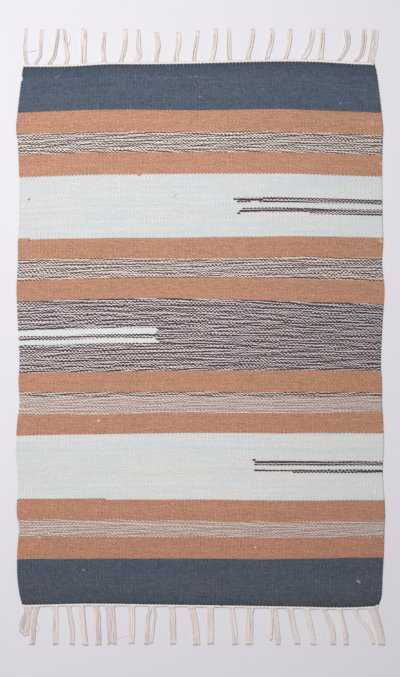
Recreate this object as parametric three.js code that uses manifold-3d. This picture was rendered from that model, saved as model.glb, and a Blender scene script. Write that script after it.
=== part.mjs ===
// A small flat-woven kilim rug that lies flat, with a fringe of gathered warps at each end.
// Millimetres, +Z up. X runs across the rug, Y along it, and its underside lies on Z = 0.
// "Far" is the +Y end and "near" the -Y end.

import * as THREE from 'three';
import { mergeVertices } from 'three/addons/utils/BufferGeometryUtils.js';
import Module from 'manifold-3d';

const wasm = await Module();
wasm.setup();

// Driving sizes

const CLOTH_THICK = 3;
const RIM_ROUND = 0.8;          // how far the cloth's rim is rounded off, all round
const PIECE_GAP = 0.3;          // clearance between the cloth and each fringe
const HEADER_WIDTH = 3.6;       // the end finish, seen from above
const HEADER_THICK = 2.8;
const STRAND_THICK = 3.4;
const SECTION_CROWN = 0.6;      // width of a strand's top, as a share of its foot
const ROOT_FLARE = 0.7;         // how much wider a strand is at its root, as a share of its width
const FLARE_LENGTH = 0.09;      // share of a strand's length over which the flare dies away
const ROOT_RISE = 0.1;          // share of a strand's length that leaves the cloth straight out
const TIP_TAPER = 0.25;         // how much narrower a strand is at its tip
const RIM_STEPS = 2;
const STRAND_STEPS = 9;
const HEADER_STEPS = 64;
const SIDE_POINTS = 90;
const END_POINTS = 44;

// Yarn colours: the warp, and the weft's bands taken together

const WARP_CREAM = 0xd9ccc1;
const WEFT_MEAN = 0x8a7a78;

// Where each side edge stands from the middle line, at stations along the rug from far to near.
// It swells beside the soft terracotta bands and draws in beside the marled ones.
const SELVEDGES = [
  { y: 443, left: 293.5, right: 290 },
  { y: 432, left: 295, right: 292 },
  { y: 408, left: 298, right: 295 },
  { y: 383, left: 301, right: 298 },
  { y: 343, left: 305, right: 302 },
  { y: 323, left: 302, right: 301 },
  { y: 267, left: 300, right: 300 },
  { y: 190, left: 300, right: 301 },
  { y: 158, left: 302, right: 302 },
  { y: 120, left: 302, right: 300 },
  { y: 78, left: 304, right: 304 },
  { y: 26, left: 302, right: 301 },
  { y: -42, left: 299, right: 298 },
  { y: -73, left: 301, right: 300 },
  { y: -108, left: 299, right: 300 },
  { y: -142, left: 303, right: 302 },
  { y: -182, left: 305, right: 303 },
  { y: -217, left: 303, right: 301 },
  { y: -244, left: 301, right: 302 },
  { y: -288, left: 304, right: 305 },
  { y: -316, left: 300, right: 304 },
  { y: -356, left: 303, right: 303 },
  { y: -394, left: 303, right: 301 },
  { y: -420, left: 300, right: 300 },
  { y: -435, left: 297, right: 298 },
  { y: -441, left: 295, right: 295 },
];

// How far each end of the cloth stands from the cross middle line, at stations from left to right.
const ENDS = [
  { x: -292, far: 446, near: 443 },
  { x: -240, far: 446, near: 442 },
  { x: -205, far: 447, near: 441 },
  { x: -150, far: 450, near: 441 },
  { x: -90, far: 450, near: 442 },
  { x: -20, far: 451, near: 443 },
  { x: 50, far: 453, near: 444 },
  { x: 110, far: 454.5, near: 445 },
  { x: 170, far: 454.5, near: 446 },
  { x: 210, far: 453, near: 447 },
  { x: 250, far: 450.5, near: 447 },
  { x: 288, far: 449, near: 445 },
];

// Each strand of gathered warps: where it stands across the rug at its root, at a quarter and a half of
// its length and at its tip, how far its tip reaches from the cross middle line, and its width.
const FAR_STRANDS = [
  { root: -286, quarter: -289, half: -289, tip: -287, reach: 510, width: 6.2 },
  { root: -275, quarter: -266, half: -264, tip: -261, reach: 509, width: 6.2 },
  { root: -252, quarter: -243, half: -239, tip: -235, reach: 510, width: 6 },
  { root: -223, quarter: -220, half: -222, tip: -226, reach: 509.5, width: 6 },
  { root: -193, quarter: -193, half: -193, tip: -192, reach: 510.4, width: 8.6 },
  { root: -159, quarter: -160, half: -161, tip: -158, reach: 504, width: 7 },
  { root: -132, quarter: -128, half: -125, tip: -124, reach: 510, width: 7.4 },
  { root: -107, quarter: -101, half: -102, tip: -102, reach: 509, width: 6.6 },
  { root: -74, quarter: -72, half: -70, tip: -72, reach: 504, width: 7.2 },
  { root: -40, quarter: -40, half: -37, tip: -36, reach: 504, width: 8 },
  { root: -11, quarter: -10, half: -8, tip: -4, reach: 507, width: 6 },
  { root: 18, quarter: 21, half: 23, tip: 25, reach: 510, width: 6.8 },
  { root: 48, quarter: 47, half: 47, tip: 47, reach: 510.4, width: 8 },
  { root: 78, quarter: 80, half: 84, tip: 88, reach: 509.5, width: 7 },
  { root: 109, quarter: 112, half: 116, tip: 118, reach: 510, width: 7.4 },
  { root: 139, quarter: 143, half: 146, tip: 149, reach: 509, width: 6.8 },
  { root: 169, quarter: 176, half: 181, tip: 186, reach: 510, width: 7 },
  { root: 198, quarter: 199, half: 201, tip: 203, reach: 510.4, width: 6.8 },
  { root: 226, quarter: 235, half: 243, tip: 244, reach: 509.5, width: 8 },
  { root: 254, quarter: 265, half: 269, tip: 271, reach: 510, width: 7.6 },
  { root: 281, quarter: 285, half: 287, tip: 289, reach: 510, width: 11 },
];

const NEAR_STRANDS = [
  { root: -282, quarter: -285, half: -290, tip: -293, reach: 492, width: 11.5 },
  { root: -268, quarter: -272, half: -273, tip: -276, reach: 510, width: 7 },
  { root: -240, quarter: -239, half: -239, tip: -238, reach: 510, width: 6.2 },
  { root: -217, quarter: -215, half: -212, tip: -211, reach: 509.5, width: 5.6 },
  { root: -195, quarter: -194, half: -193, tip: -189, reach: 510.4, width: 6.2 },
  { root: -173, quarter: -169, half: -169, tip: -167, reach: 510, width: 6.8 },
  { root: -149, quarter: -147, half: -146, tip: -144, reach: 509, width: 10 },
  { root: -112, quarter: -112, half: -112, tip: -113, reach: 508, width: 6.6 },
  { root: -81, quarter: -85, half: -87, tip: -88, reach: 509.5, width: 5 },
  { root: -77, quarter: -75, half: -77, tip: -80, reach: 507, width: 4 },
  { root: -47, quarter: -45, half: -45, tip: -44, reach: 509, width: 6.8 },
  { root: -15, quarter: -11, half: -8, tip: -5, reach: 510, width: 7.6 },
  { root: 18, quarter: 17, half: 18, tip: 18, reach: 509, width: 7 },
  { root: 51, quarter: 53, half: 55, tip: 59, reach: 510, width: 7 },
  { root: 84, quarter: 82, half: 82, tip: 81, reach: 509.5, width: 7.8 },
  { root: 119, quarter: 119, half: 118, tip: 118, reach: 502, width: 3.2 },
  { root: 123, quarter: 125, half: 127, tip: 130, reach: 509.5, width: 4.8 },
  { root: 149, quarter: 151, half: 154, tip: 162, reach: 509, width: 6.2 },
  { root: 176, quarter: 179, half: 182, tip: 188, reach: 510, width: 6.2 },
  { root: 202, quarter: 209, half: 216, tip: 221, reach: 509.5, width: 6.2 },
  { root: 230, quarter: 233, half: 237, tip: 242, reach: 510, width: 5.4 },
  { root: 255, quarter: 260, half: 273, tip: 285, reach: 509, width: 6.4 },
  { root: 284, quarter: 289, half: 293, tip: 298, reach: 510.4, width: 11.5 },
];

const FAR = 1;
const NEAR = -1;

// The two end edges and the two side edges of the cloth, as curves

function endCurve(end, standOff) {
  const reach = (row) => (end === FAR ? row.far : row.near) + standOff;
  return new THREE.SplineCurve(ENDS.map((row) => new THREE.Vector2(row.x, end * reach(row))));
}

function sideCurve(side) {
  return new THREE.SplineCurve(SELVEDGES.map((row) => new THREE.Vector2(side(row), row.y)));
}

function fieldOutline() {
  const near = endCurve(NEAR, 0).getSpacedPoints(END_POINTS);
  const right = sideCurve((row) => row.right).getSpacedPoints(SIDE_POINTS).reverse();
  const far = endCurve(FAR, 0).getSpacedPoints(END_POINTS).reverse();
  const left = sideCurve((row) => -row.left).getSpacedPoints(SIDE_POINTS);
  return new THREE.Shape([...near, ...right, ...far, ...left]);
}

function wovenField() {
  const geometry = new THREE.ExtrudeGeometry(fieldOutline(), {
    depth: CLOTH_THICK - 2 * RIM_ROUND,
    bevelThickness: RIM_ROUND,
    bevelSize: RIM_ROUND,
    bevelOffset: -RIM_ROUND,
    bevelSegments: RIM_STEPS,
    steps: 1,
  });
  return geometry.translate(0, 0, RIM_ROUND);
}

// A bar of four sides that lies on Z = 0 along a curve. The straight bar is extruded along +Z, and each
// of its points is then carried to the same share of the curve's length.
function layBar(curve, steps, widthAt, thickAt) {
  const foot = 0.5;
  const crown = foot * SECTION_CROWN;
  const section = new THREE.Shape([
    new THREE.Vector2(-foot, 0),
    new THREE.Vector2(foot, 0),
    new THREE.Vector2(crown, 1),
    new THREE.Vector2(-crown, 1),
  ]);
  const geometry = new THREE.ExtrudeGeometry(section, { depth: 1, steps, bevelEnabled: false });
  const position = geometry.attributes.position;
  for (let i = 0; i < position.count; i += 1) {
    const across = position.getX(i);
    const up = position.getY(i);
    const share = position.getZ(i);
    const place = curve.getPointAt(share);
    const ahead = curve.getTangentAt(share);
    const offset = across * widthAt(share);
    position.setXYZ(i, place.x - ahead.y * offset, place.y + ahead.x * offset, up * thickAt(share));
  }
  return geometry;
}

function header(end) {
  const curve = endCurve(end, PIECE_GAP + HEADER_WIDTH / 2);
  return layBar(curve, HEADER_STEPS, () => HEADER_WIDTH, () => HEADER_THICK);
}

// A strand starts on the header's middle line, so that its root is buried in the header.
function strand(row, end) {
  const edge = endCurve(end, PIECE_GAP + HEADER_WIDTH / 2);
  const first = ENDS[0].x;
  const last = ENDS[ENDS.length - 1].x;
  const rootPoint = edge.getPointAt((row.root - first) / (last - first));
  const rootReach = Math.abs(rootPoint.y);
  const at = (x, share) => new THREE.Vector2(x, end * (rootReach + share * (row.reach - rootReach)));
  const curve = new THREE.SplineCurve([
    at(row.root, 0),
    at(row.root, ROOT_RISE),
    at(row.quarter, 0.25),
    at(row.half, 0.5),
    at(row.tip, 1),
  ]);
  const flare = (share) => 1 + ROOT_FLARE * Math.exp(-share / FLARE_LENGTH);
  const taper = (share) => 1 - TIP_TAPER * share * share;
  const widthAt = (share) => row.width * flare(share) * taper(share);
  const thickAt = (share) => HEADER_THICK + (STRAND_THICK - HEADER_THICK) * Math.sin(Math.PI * share);
  return layBar(curve, STRAND_STEPS, widthAt, thickAt);
}

function toSolid(geometry) {
  const bare = geometry.clone();
  bare.deleteAttribute('normal');
  bare.deleteAttribute('uv');
  const merged = mergeVertices(bare);
  return new wasm.Manifold(new wasm.Mesh({
    numProp: 3,
    vertProperties: new Float32Array(merged.attributes.position.array),
    triVerts: new Uint32Array(merged.index.array),
  }));
}

function toGeometry(solid) {
  const mesh = solid.getMesh();
  const geometry = new THREE.BufferGeometry();
  geometry.setAttribute('position', new THREE.BufferAttribute(mesh.vertProperties, 3));
  geometry.setIndex(new THREE.BufferAttribute(mesh.triVerts, 1));
  geometry.computeVertexNormals();
  return geometry;
}

function fringe(rows, end) {
  let solid = toSolid(header(end));
  for (const row of rows) {
    solid = solid.add(toSolid(strand(row, end)));
  }
  return toGeometry(solid);
}

function yarn(name, colour) {
  return new THREE.MeshStandardMaterial({ name, color: colour, roughness: 0.95, metalness: 0 });
}

function piece(name, geometry, material) {
  const mesh = new THREE.Mesh(geometry, material);
  mesh.name = name;
  return mesh;
}

const rug = new THREE.Group();
rug.add(piece('woven_field', wovenField(), yarn('weft', WEFT_MEAN)));
rug.add(piece('fringe_far', fringe(FAR_STRANDS, FAR), yarn('warp', WARP_CREAM)));
rug.add(piece('fringe_near', fringe(NEAR_STRANDS, NEAR), yarn('warp', WARP_CREAM)));

export default rug;
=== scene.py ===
"""A small flat-woven kilim rug, laid flat, with a fringe of gathered warps at each end.

The cloth is woven bead by bead: each crossing of a weft pick over a warp is a small raised bead, and the
marled bands come from two-ply yarns whose light and dark plies turn as each pick runs along.
Places and sizes in the tables are in millimetres, and MM makes them metres. X runs across the rug and Y
along it, and far is its +Y end.
"""

from collections import namedtuple
from functools import partialmethod
from math import atan2, pi, sqrt

import bmesh
import bpy
import numpy as np
from bpy.props import FloatProperty, FloatVectorProperty, IntProperty, PointerProperty
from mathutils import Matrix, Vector


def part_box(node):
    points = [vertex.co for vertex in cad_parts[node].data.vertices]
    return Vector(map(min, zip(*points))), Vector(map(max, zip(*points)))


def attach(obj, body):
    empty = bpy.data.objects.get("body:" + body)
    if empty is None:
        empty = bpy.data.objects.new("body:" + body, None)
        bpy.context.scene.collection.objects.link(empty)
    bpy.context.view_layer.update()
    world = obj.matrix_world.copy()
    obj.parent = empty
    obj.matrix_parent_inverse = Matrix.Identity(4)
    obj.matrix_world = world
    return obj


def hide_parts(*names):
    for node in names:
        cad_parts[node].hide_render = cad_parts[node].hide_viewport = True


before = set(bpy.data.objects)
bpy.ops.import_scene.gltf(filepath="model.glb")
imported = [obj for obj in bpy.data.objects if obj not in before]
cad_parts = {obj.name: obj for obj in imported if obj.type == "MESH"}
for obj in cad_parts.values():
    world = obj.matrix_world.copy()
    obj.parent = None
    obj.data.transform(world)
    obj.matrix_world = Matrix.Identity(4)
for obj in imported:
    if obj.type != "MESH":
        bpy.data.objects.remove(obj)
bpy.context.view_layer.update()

bl_info = {
    "name": "Kilim Rug",
    "version": (1, 0, 0),
    "blender": (4, 5, 0),
    "location": "View3D > Sidebar > Kilim",
    "description": "Weaves a banded kilim rug with gathered fringes, and sets it on a studio floor",
    "category": "Add Mesh",
}

MM = 0.001
BODY = "root"
MOST_TRIANGLES = 200000


def table(fields, *rows):
    """Rows of facts, whose values are called by name."""
    row_type = namedtuple("Row", fields)
    return [row_type(*row) for row in rows]


# Warps are counted from the left selvedge and picks from the far end. The cloth goes on past the middles of
# the outermost ones by EDGE_WARPS and EDGE_PICKS
WARP_GAPS = 200
EDGE_WARPS = 0.6
EDGE_PICKS = 0.5

# A band's near edge is its height at each station across the rug, and its parting how straight that line is,
# from 0 where every bead shows as a tooth to 1 where none does
STATIONS = (-300, -165, 0, 115, 298)
BANDS = table(
    "yarn picks parting near_edge",
    ("indigo", 32, 0.6, (370.1, 375.4, 374.3, 376.1, 369.8)),
    ("terracotta", 15, 0, (333.8, 337.2, 338.0, 338.3, 331.7)),
    ("rose_marl", 14, 0, (300.8, 304.8, 305.5, 305.9, 300.6)),
    ("terracotta", 15, 0.35, (263.1, 267.4, 268.6, 269.4, 264.1)),
    ("pale", 44, 0.55, (160.0, 162.8, 164.2, 166.1, 163.8)),
    ("terracotta", 14, 0, (127.1, 128.6, 128.0, 131.0, 130.0)),
    ("rose_marl", 14, 0.1, (92.7, 97.2, 98.7, 97.5, 92.9)),
    ("terracotta", 15, 0.8, (57.9, 62.4, 62.4, 59.1, 53.5)),
    ("plum_marl", 49, 0.5, (-59.6, -57.2, -55.0, -54.7, -55.3)),
    ("terracotta", 15, 0, (-91.6, -92.0, -91.5, -92.7, -92.6)),
    ("soft_marl", 15, 0.55, (-128.9, -127.3, -125.1, -125.7, -124.3)),
    ("terracotta", 14, 0.5, (-163.4, -161.0, -158.9, -159.5, -159.8)),
    ("pale", 46, 0.6, (-270.1, -269.2, -268.8, -269.9, -269.7)),
    ("terracotta", 14, 0, (-302.0, -302.6, -305.1, -305.9, -304.8)),
    ("soft_marl", 12, 0.2, (-330.6, -329.2, -329.8, -331.2, -330.1)),
    ("terracotta", 15, 0.75, (-367.4, -367.1, -366.5, -367.1, -364.5)),
    ("indigo", 32, 0, None),
)
BAND_STARTS = np.cumsum([0] + [band.picks for band in BANDS])
PICKS = int(BAND_STARTS[-1])
LAST_PICK = PICKS - 1
FAR_BLUE, FAR_NARROW, FAR_PALE, CENTRE, NEAR_SOFT, NEAR_PALE = 0, 3, 4, 8, 10, 12
DARK_PICKS = 3  # the first picks of the near soft marl are of a darker yarn

# Short bars of another yarn, laid in pick by pick: the band, the yarn, and for each bar its pick from the
# band's far edge, its first and last warps, and how the plies are turned where it begins, in full turns
INLAYS = (
    (FAR_BLUE, "worn_indigo", ((8, 24, 70, 0), (9, 71, 110, 0), (13, 118, 146, 0), (14, 150, 200, 0))),
    (CENTRE, "ice", ((20, 0, 76.5, 0), (21, 0, 76, 0), (22, 0, 75, 0), (23, 0, 74, 0))),
    (CENTRE, "still_marl", ((24, 0, 74, 0.3), (25, 0, 74, -0.3), (26, 0, 74, 0.33))),
    (CENTRE, "ice", ((27, 0, 74, 0), (28, 0, 75, 0), (29, 0, 76.5, 0))),
    (FAR_PALE, "inlay_marl", (
        (17, 118.5, 134, -0.3), (17, 135, 200, 0.36), (18, 120.5, 134, 0.33), (18, 135, 200, -0.05),
        (19, 121, 128, 0.5), (19, 133, 200, 0.4), (24, 122.5, 200, 0.3), (25, 121.5, 200, -0.3),
        (26, 120.5, 200, 0.33), (27, 119.5, 121.5, 0.5), (27, 160, 200, 0.2),
    )),
    (FAR_NARROW, "pale", ((14, 62, 62, 0),)),
    (FAR_PALE, "terracotta", ((0, 65, 66, 0), (43, 0, 5.5, 0))),
    (NEAR_PALE, "inlay_marl", (
        (18, 128.5, 130.5, 0.5), (19, 129.5, 200, -0.3), (20, 130.5, 200, 0.36), (21, 131, 200, -0.3),
        (25, 130.5, 200, 0.5), (26, 152, 200, -0.25),
    )),
    (NEAR_PALE, "terracotta", ((45, 0, 47.5, 0),)),
)
INLAY_PARTING = 0.5

# Beads that have slipped out of line: how far across, in warps, and how far down, in picks
SLIPS = table(
    "warp pick across down", (0, 7, 0.4, 0), (0, 8, 0.75, 0), (0, 9, 0.4, 0), (112, LAST_PICK, 0, 0.8)
)

# Specks caught in the weave: place, how many beads wide, the share of a bead's round that takes the speck's
# colour, and how much of the bead's own colour that hides
FLECKS = table(
    "x y beads cover colour strength",
    (-282.3, 227.7, 1, 0.85, "plum_dark", 0.62), (-42.0, 234.3, 1, 0.6, "plum_dark", 0.45),
    (-39.0, 236.7, 1, 0.5, "plum_dark", 0.22), (-45.0, 231.9, 1, 0.5, "plum_dark", 0.18),
    (-280.6, 160.0, 1, 1, "umber", 0.45), (-166.0, -137.6, 1, 0.7, "fluff", 0.65),
    (-193.2, -384.7, 1, 0.5, "fluff", 0.25), (231.8, 385.2, 1, 0.5, "fluff", 0.22),
    (90.3, -347.5, 1, 0.5, "fluff", 0.45), (-235.4, 429.4, 2, 0.5, "fluff", 0.1),
    (-8.9, 430.2, 1, 0.5, "fluff", 0.18), (-3.1, 397.1, 1, 0.5, "fluff", 0.15),
    (261.3, -403.1, 2, 0.5, "fluff", 0.42), (87.1, 446.9, 1, 1, "madder", 0.5),
    (284.5, 356.6, 1, 0.5, "fluff", 0.25), (284.5, 350.0, 1, 0.5, "fluff", 0.22),
    (298.2, 286.4, 1, 0.6, "fluff", 0.5), (299.5, 158.8, 2, 0.6, "fluff", 0.4),
    (299.0, -149.7, 1, 0.5, "fluff", 0.35), (-173.4, -92.2, 1, 0.5, "plum_dark", 0.7),
)

# Strands of the fringe: where the middle line stands at the header, at a quarter, at half and at the tip,
# how far from the rug's middle the tip lies, and the strand's width
STRAND = "root quarter half tip reach width"
FAR_STRANDS = table(
    STRAND,
    (-286, -289, -289, -287, 510, 6.2), (-275, -266, -264, -261, 509, 6.2),
    (-252, -243, -239, -235, 510, 6), (-223, -220, -222, -226, 509.5, 6),
    (-193, -193, -193, -192, 510.4, 8.6), (-159, -160, -161, -158, 504, 7),
    (-132, -128, -125, -124, 510, 7.4), (-107, -101, -102, -102, 509, 6.6),
    (-74, -72, -70, -72, 504, 7.2), (-40, -40, -37, -36, 504, 8),
    (-11, -10, -8, -4, 507, 6), (18, 21, 23, 25, 510, 6.8),
    (48, 47, 47, 47, 510.4, 8), (78, 80, 84, 88, 509.5, 7),
    (109, 112, 116, 118, 510, 7.4), (139, 143, 146, 149, 509, 6.8),
    (169, 176, 181, 186, 510, 7), (198, 199, 201, 203, 510.4, 6.8),
    (226, 235, 242, 241, 509.5, 8.2), (254, 265, 269, 271, 510, 7.6),
    (281, 284, 287, 289, 510, 10),
)
NEAR_STRANDS = table(
    STRAND,
    (-284.5, -283, -285.5, -289.5, 495.5, 8.8), (-269.5, -273, -275, -277.5, 510, 6.8),
    (-240, -239, -239, -238, 510, 6.2), (-217, -215, -212, -211, 509.5, 5.6),
    (-195, -194, -193, -189, 510.4, 6.2), (-173, -169, -169, -167, 510, 6.8),
    (-149, -147, -146, -144, 509, 10), (-112, -112, -112, -113, 508, 6.6),
    (-81, -85, -87, -88, 509.5, 5), (-77, -75, -77, -80, 507, 4),
    (-47, -45, -45, -44, 509, 6.8), (-15, -11, -8, -5, 510, 7.6),
    (18, 17, 18, 18, 509, 7), (51, 53, 55, 59, 510, 7),
    (84, 82, 82, 81, 509.5, 7.8), (119, 119, 118, 118, 502, 3.2),
    (123, 125, 127, 130, 509.5, 4.8), (149, 151, 154, 162, 509, 6.2),
    (176, 179, 182, 188, 510, 6.2), (202, 209, 216, 221, 509.5, 6.2),
    (230, 233, 237, 242, 510, 5.4), (255, 260, 273, 287, 509, 6),
    (284, 289, 294, 300.5, 510.4, 11.5),
)
STRAND_SHARES = (0, 0.1, 0.25, 0.5, 1)
LEAVING = 0.3  # how much of its first quarter's shift a strand has made at the second of these

# How a strand ends: which end and strand (None for every other strand there), the tip's width beside the
# root's, how much shorter its left yarns are cut for each millimetre across (or its right ones, below 0),
# how many plies each warp has come apart into, how wide its locks are, and their twist in radians
TIPS = table(
    "end strand widening askew plies lock twist",
    (-1, 0, 1.6, 0.9, 6, 4.5, 0.3), (-1, 22, 0.7, 0, 4, 3.4, 0.6),
    (-1, 21, 0.6, 0, 2, 3.4, 0.9), (-1, None, 1.05, 0, 2, 3.4, 0.9),
    (1, 4, 0.95, -0.6, 1, 3.4, 3), (1, 9, 1.0, 0, 1, 3.4, 3), (1, 18, 1.25, 0, 1, 3.4, 3),
    (1, 20, 1.1, 0, 1, 3.4, 3), (1, None, 0.9, 0, 1, 3.4, 3),
)

# How the yarns of the far and of the near end lie: how much wider than a strand pressed by hand, how far off
# their strand's middle, whether each lock is flat, how much thinner its yarns' tips are, and how much their
# tone is raised
FAR_LIE, NEAR_LIE = table(
    "flatter shift flat thinner clean", (1.0, -0.5, False, 0.35, 0), (1.22, -1.2, True, 0.1, 0.2)
)

# Fibres that have worked loose, point by point
FAR_STRAYS = (
    ((-290, 470, 2.6), (-284, 470.4, 2.2), (-279, 471.2, 1.8), (-271, 473, 2.4)),
    ((-221, 478, 2.4), (-216, 487, 1.2), (-215, 494, 0.8), (-217, 501, 0.5)),
)
NEAR_STRAYS = (
    ((-272, -470, 2.2), (-268, -476, 1.4), (-266, -482, 0.8), (-269, -488, 0.6), (-271, -484, 0.9)),
    ((-144, -500, 1.4), (-134, -498, 0.5), (-127, -496, 0.4), (-120, -494.7, 0.5)),
    ((243, -489, 0.8), (245, -493, 0.5), (249, -498, 0.4)),
)


def srgb(code):
    """A colour given as 0xRRGGBB, as Blender's linear values."""
    channels = [(code >> shift & 255) / 255 for shift in (16, 8, 0)]
    return tuple(c / 12.92 if c <= 0.04045 else ((c + 0.055) / 1.055) ** 2.4 for c in channels)


def colour_property(name, text, code):
    colour = srgb(code)
    return FloatVectorProperty(name=name, description=text, default=colour, subtype="COLOR", min=0, max=1)


def length_property(name, text, millimetres):
    return FloatProperty(name=name, description=text, default=millimetres * MM, unit="LENGTH", min=0)


class KilimSizes(bpy.types.PropertyGroup):
    """Sizes of the yarns and of the weave's relief."""

    relief: length_property("Bead relief", "How far a bead stands over the gaps beside it", 0.6)
    edge_tooth: FloatProperty(
        name="Edge tooth", description="How far the end beads stand past the gaps between them, in picks",
        default=1.0, min=0, max=1.2,
    )
    waver: length_property("Waver", "How far the picks stray from straight lines", 0.45)
    warp_yarn: length_property("Warp yarn", "Diameter of one warp end in the fringe", 1.4)
    looseness: FloatProperty(
        name="Looseness", description="How much wider a strand's loose yarns lie than the strand pressed",
        default=1.2, min=0.8, max=2,
    )
    header_yarn: length_property("Header yarn", "Diameter of each of the two twined end yarns", 2.3)
    seed: IntProperty(name="Seed", description="Start of the random draws", default=7, min=0)


class KilimColours(bpy.types.PropertyGroup):
    """Colours of the dyed wefts, their plies and the warp."""

    indigo: colour_property("Indigo", "Weft of the end bands", 0x596373)
    indigo_worn: colour_property("Worn indigo", "A few paler picks of the far end band", 0x606B7B)
    terracotta: colour_property("Terracotta", "Weft of the eight narrow bands", 0xC6957B)
    pale: colour_property("Pale", "Weft of the two wide pale bands", 0xDFE1E1)
    ice: colour_property("Ice", "Weft of the pale bars in the centre band", 0xE4EAE9)
    blush: colour_property("Blush ply", "Light ply of the centre band's yarn", 0xE4D9D8)
    plum_dark: colour_property("Plum ply", "Dark ply of the centre band's yarn", 0x493B42)
    cream: colour_property("Cream ply", "Light ply of the rose and soft marls", 0xDFD2CC)
    umber: colour_property("Umber ply", "Dark ply of the rose marl", 0x54413D)
    taupe: colour_property("Taupe ply", "Dark ply of the soft marl", 0xAA948C)
    fluff: colour_property("Fluff", "White specks caught in the weave", 0xF0EEEA)
    madder: colour_property("Madder", "One stray red fibre", 0xB5565C)
    cotton: colour_property("Cotton", "Warp yarn of the fringe", 0xF0E7E4)


class KilimStudio(bpy.types.PropertyGroup):
    """The floor, the lights and the camera."""

    floor: colour_property("Floor", "Colour of the floor", 0xDFDDE2)
    key_power: FloatProperty(
        name="Key power", description="Main soft light", default=43.4, unit="POWER", min=0
    )
    fill: FloatProperty(name="Fill", description="Strength of the even light all round", default=0.3, min=0)
    camera_height: length_property("Camera height", "Camera over the floor", 3000)
    view_length: length_property("View length", "What the long side of the picture spans", 1119.1)


# Shapes along a line

def curve_through(stations, values, at):
    """Heights at the given places of a smooth curve through values at stations."""
    stations = np.asarray(stations, float)
    values = np.asarray(values, float)
    slopes = np.gradient(values, stations)
    at = np.clip(at, stations[0], stations[-1])
    step = np.clip(np.searchsorted(stations, at, side="right") - 1, 0, len(stations) - 2)
    run = stations[step + 1] - stations[step]
    t = (at - stations[step]) / run
    start = (1 + 2 * t) * (1 - t) ** 2 * values[step] + t * (1 - t) ** 2 * run * slopes[step]
    end = t * t * (3 - 2 * t) * values[step + 1] + t * t * (t - 1) * run * slopes[step + 1]
    return start + end


def ease(t):
    """0 to 1 along a smooth step."""
    t = np.clip(t, 0, 1)
    return t * t * (3 - 2 * t)


def soft_noise(rng, rows, columns, row_step, column_step):
    """Smooth noise from -1 to 1 over rows and columns, read between the points of a coarse random grid."""
    shape = (int(rows / row_step) + 3, int(columns / column_step) + 3)
    coarse = rng.uniform(-1, 1, shape)
    across = ease_grid(np.arange(columns) / column_step)
    down = ease_grid(np.arange(rows) / row_step)
    wide = np.array([np.interp(across, np.arange(shape[1]), line) for line in coarse])
    return np.array([np.interp(down, np.arange(shape[0]), line) for line in wide.T]).T


def ease_grid(places):
    """Places between whole numbers, eased so that interpolated noise has no creases."""
    whole = np.floor(places)
    return whole + ease(places - whole)


def wander(rng, count, step):
    """A slow random wander from -1 to 1 along a line of places."""
    return soft_noise(rng, 1, count, 1, step)[0]


def layered_noise(rng, layers):
    """Noise over the whole weave, from layers that each give a strength and a span in picks and in warps."""
    return sum(strength * soft_noise(rng, PICKS, WARP_GAPS + 1, *spans) for strength, *spans in layers)


class Outline:
    """The cloth's outline seen from above, read from the CAD node: two selvedges and two ends."""

    def __init__(self, node):
        low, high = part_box(node)
        middle = (low.z + high.z) / 2
        reach = (high.z - low.z) / 4
        ring = {
            (round(v.co.x, 6), round(v.co.y, 6))
            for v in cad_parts[node].data.vertices
            if abs(v.co.z - middle) < reach
        }
        points = np.array(sorted(ring, key=lambda p: atan2(p[1] / high.y, p[0] / high.x)))
        shares = points / (high.x, high.y)
        ways = ((1, -1), (1, 1), (-1, 1), (-1, -1), (1, -1))
        corners = [int(np.argmax(shares @ way)) for way in ways]
        sides = [self.chain(points, corners[n], corners[n + 1], (n + 1) % 2) for n in range(4)]
        self.right, self.far, self.left, self.near = sides

    @staticmethod
    def chain(points, first, last, axis):
        """The ring's points from one corner to the next, in order along an axis."""
        count = (last - first) % len(points) + 1
        run = points[(first + np.arange(count)) % len(points)]
        return run[np.argsort(run[:, axis])]

    def selvedges(self, y):
        """X of the left and of the right edge at heights y."""
        return [np.interp(y, side[:, 1], side[:, 0]) for side in (self.left, self.right)]

    def ends(self, x):
        """Y of the far and of the near end at places x."""
        return np.interp(x, *self.far.T), np.interp(x, *self.near.T)


def share_across(warp):
    """Warps as shares of the way from the left edge to the right one."""
    return (warp + EDGE_WARPS) / (WARP_GAPS + 2 * EDGE_WARPS)


# How the picks waver up and down and the warps from side to side, as layers of noise. It fades out over the
# outermost warps and picks
PICK_WAVER = ((1, 6, 26), (1, 1.3, 20))
WARP_WAVER = ((1, 34, 7), (0.7, 30, 1.4))
STEADY_WARPS = 12
STEADY_PICKS = 8
ROUGH_WIDTH = 600 * MM  # the first guess of the cloth's width, before its selvedges are read


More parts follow.
